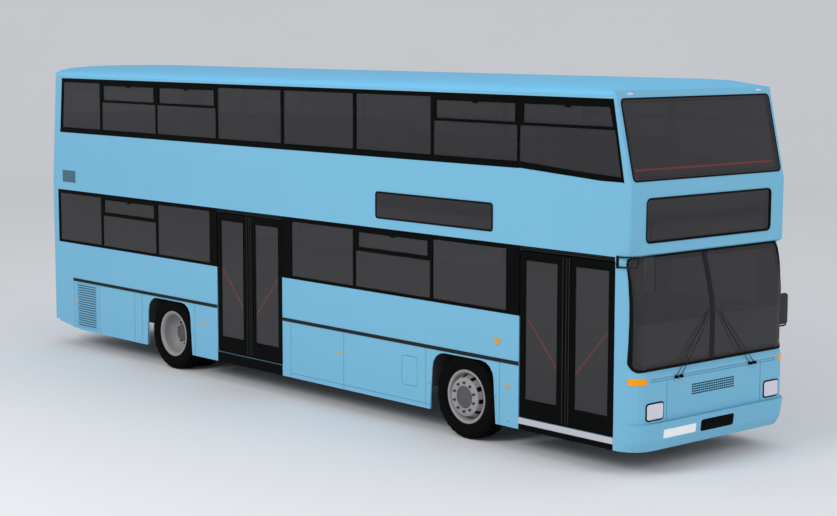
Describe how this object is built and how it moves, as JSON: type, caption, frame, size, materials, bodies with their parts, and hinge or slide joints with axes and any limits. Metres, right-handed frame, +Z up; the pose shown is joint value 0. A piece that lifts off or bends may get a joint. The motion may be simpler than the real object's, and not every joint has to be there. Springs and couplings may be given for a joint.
{
  "type": "double decker city bus",
  "caption": "Double-deck city bus with inward-gliding doors at the kerb side, steered front wheels, twin rear wheels, rear engine hatch and fuel flap.",
  "frame": {"origin": "centre of the overall box at road level", "axes": "+Z up, +Y towards the tail, -X towards the kerb side with the doors"},
  "size_m": [3, 11.708, 4.03],
  "materials": {
    "bus_blue": "satin",
    "black_trim": "satin",
    "tinted_glass": "gloss",
    "dark_steel": "satin",
    "floor_covering": "matt",
    "seat_cloth": "woven",
    "grey_plastic": "matt",
    "rim_grey": "satin",
    "tyre_rubber": "matt"
  },
  "bodies": {
    "bus": {"chassis_frame": "dark_steel", "dashboard": "grey_plastic", "driver_seat": "seat_cloth", "engine": "dark_steel", "entrance_floor": "floor_covering", "exit_floor": "floor_covering", "front_axle": "dark_steel", "front_bumper": "bus_blue", "front_end": "bus_blue", "lower_glass_nearside": "tinted_glass", "lower_glass_offside": "tinted_glass", "lower_offside_seats": "seat_cloth", "lower_rear_seats": "seat_cloth", "lower_window_frame_nearside": "black_trim", "lower_window_frame_offside": "black_trim", "nearside_mirror": "black_trim", "nearside_wall": "bus_blue", "offside_mirror": "black_trim", "offside_wall": "bus_blue", "rear_axle": "dark_steel", "rear_end": "bus_blue", "rear_floor": "floor_covering", "rear_window_upper": "tinted_glass", "roof": "bus_blue", "saloon_floor": "floor_covering", "staircase": "floor_covering", "upper_floor": "floor_covering", "upper_glass_nearside": "tinted_glass", "upper_glass_offside": "tinted_glass", "upper_seats": "seat_cloth", "upper_window_frame_nearside": "black_trim", "upper_window_frame_offside": "black_trim", "upper_windscreen": "tinted_glass", "windscreen": "tinted_glass"},
    "nearside_knuckle": {"nearside_knuckle": "dark_steel"},
    "nearside_front_wheel": {"nearside_front_rim": "rim_grey", "nearside_front_tyre": "tyre_rubber"},
    "nearside_rear_wheels": {"nearside_rear_rims": "rim_grey", "nearside_rear_outer_tyre": "tyre_rubber", "nearside_rear_inner_tyre": "tyre_rubber"},
    "offside_knuckle": {"offside_knuckle": "dark_steel"},
    "offside_front_wheel": {"offside_front_rim": "rim_grey", "offside_front_tyre": "tyre_rubber"},
    "offside_rear_wheels": {"offside_rear_rims": "rim_grey", "offside_rear_outer_tyre": "tyre_rubber", "offside_rear_inner_tyre": "tyre_rubber"},
    "front_door_front_arm_body": {"front_door_front_arm": "dark_steel"},
    "front_door_front_leaf_body": {"front_door_front_leaf": "black_trim", "front_door_front_glass": "tinted_glass"},
    "front_door_rear_arm_body": {"front_door_rear_arm": "dark_steel"},
    "front_door_rear_leaf_body": {"front_door_rear_leaf": "black_trim", "front_door_rear_glass": "tinted_glass"},
    "middle_door_front_arm_body": {"middle_door_front_arm": "dark_steel"},
    "middle_door_front_leaf_body": {"middle_door_front_leaf": "black_trim", "middle_door_front_glass": "tinted_glass"},
    "middle_door_rear_arm_body": {"middle_door_rear_arm": "dark_steel"},
    "middle_door_rear_leaf_body": {"middle_door_rear_leaf": "black_trim", "middle_door_rear_glass": "tinted_glass"},
    "engine_hatch_body": {"engine_hatch": "bus_blue"},
    "fuel_flap_body": {"fuel_flap": "bus_blue"}
  },
  "joints": [
    {"name": "nearside_steer", "type": "hinge", "parent": "bus", "child": "nearside_knuckle", "pos_m": [-0.95, -2.944, 0.4785], "axis": [0, 0, 1], "range_deg": [-40, 40]},
    {"name": "nearside_front_spin", "type": "hinge", "parent": "nearside_knuckle", "child": "nearside_front_wheel", "pos_m": [-1.075, -2.944, 0.4785], "axis": [1, 0, 0], "continuous": true},
    {"name": "nearside_rear_spin", "type": "hinge", "parent": "bus", "child": "nearside_rear_wheels", "pos_m": [-0.915, 2.832, 0.4785], "axis": [1, 0, 0], "continuous": true},
    {"name": "offside_steer", "type": "hinge", "parent": "bus", "child": "offside_knuckle", "pos_m": [0.95, -2.944, 0.4785], "axis": [0, 0, 1], "range_deg": [-40, 40]},
    {"name": "offside_front_spin", "type": "hinge", "parent": "offside_knuckle", "child": "offside_front_wheel", "pos_m": [1.075, -2.944, 0.4785], "axis": [1, 0, 0], "continuous": true},
    {"name": "offside_rear_spin", "type": "hinge", "parent": "bus", "child": "offside_rear_wheels", "pos_m": [0.915, 2.832, 0.4785], "axis": [1, 0, 0], "continuous": true},
    {"name": "front_door_front_arm_swing", "type": "hinge", "parent": "bus", "child": "front_door_front_arm_body", "pos_m": [-1.13, -5.079, 2.222], "axis": [0, 0, -1], "range_deg": [0, 85]},
    {"name": "front_door_front_leaf_turn", "type": "hinge", "parent": "front_door_front_arm_body", "child": "front_door_front_leaf_body", "pos_m": [-1.13, -4.831, 2.222], "axis": [0, 0, -1], "range_deg": [-170, 0]},
    {"name": "front_door_rear_arm_swing", "type": "hinge", "parent": "bus", "child": "front_door_rear_arm_body", "pos_m": [-1.13, -3.961, 2.222], "axis": [0, 0, 1], "range_deg": [0, 85]},
    {"name": "front_door_rear_leaf_turn", "type": "hinge", "parent": "front_door_rear_arm_body", "child": "front_door_rear_leaf_body", "pos_m": [-1.13, -4.209, 2.222], "axis": [0, 0, 1], "range_deg": [-170, 0]},
    {"name": "middle_door_front_arm_swing", "type": "hinge", "parent": "bus", "child": "middle_door_front_arm_body", "pos_m": [-1.13, 0.462, 2.222], "axis": [0, 0, -1], "range_deg": [0, 85]},
    {"name": "middle_door_front_leaf_turn", "type": "hinge", "parent": "middle_door_front_arm_body", "child": "middle_door_front_leaf_body", "pos_m": [-1.13, 0.7115, 2.222], "axis": [0, 0, -1], "range_deg": [-170, 0]},
    {"name": "middle_door_rear_arm_swing", "type": "hinge", "parent": "bus", "child": "middle_door_rear_arm_body", "pos_m": [-1.13, 1.586, 2.222], "axis": [0, 0, 1], "range_deg": [0, 85]},
    {"name": "middle_door_rear_leaf_turn", "type": "hinge", "parent": "middle_door_rear_arm_body", "child": "middle_door_rear_leaf_body", "pos_m": [-1.13, 1.3365, 2.222], "axis": [0, 0, 1], "range_deg": [-170, 0]},
    {"name": "engine_hatch_swing", "type": "hinge", "parent": "bus", "child": "engine_hatch_body", "pos_m": [0, 5.846, 1.35], "axis": [1, 0, 0], "range_deg": [0, 80]},
    {"name": "fuel_flap_swing", "type": "hinge", "parent": "bus", "child": "fuel_flap_body", "pos_m": [-1.25, -2.184, 0.658], "axis": [0, 0, 1], "range_deg": [0, 100]}
  ],
  "couplings": [
    {"joint": "offside_steer", "follows": "nearside_steer", "ratio": 1},
    {"joint": "front_door_front_leaf_turn", "follows": "front_door_front_arm_swing", "ratio": -2},
    {"joint": "front_door_rear_arm_swing", "follows": "front_door_front_arm_swing", "ratio": 1},
    {"joint": "front_door_rear_leaf_turn", "follows": "front_door_front_arm_swing", "ratio": -2},
    {"joint": "middle_door_front_leaf_turn", "follows": "middle_door_front_arm_swing", "ratio": -2},
    {"joint": "middle_door_rear_arm_swing", "follows": "middle_door_front_arm_swing", "ratio": 1},
    {"joint": "middle_door_rear_leaf_turn", "follows": "middle_door_front_arm_swing", "ratio": -2}
  ]
}
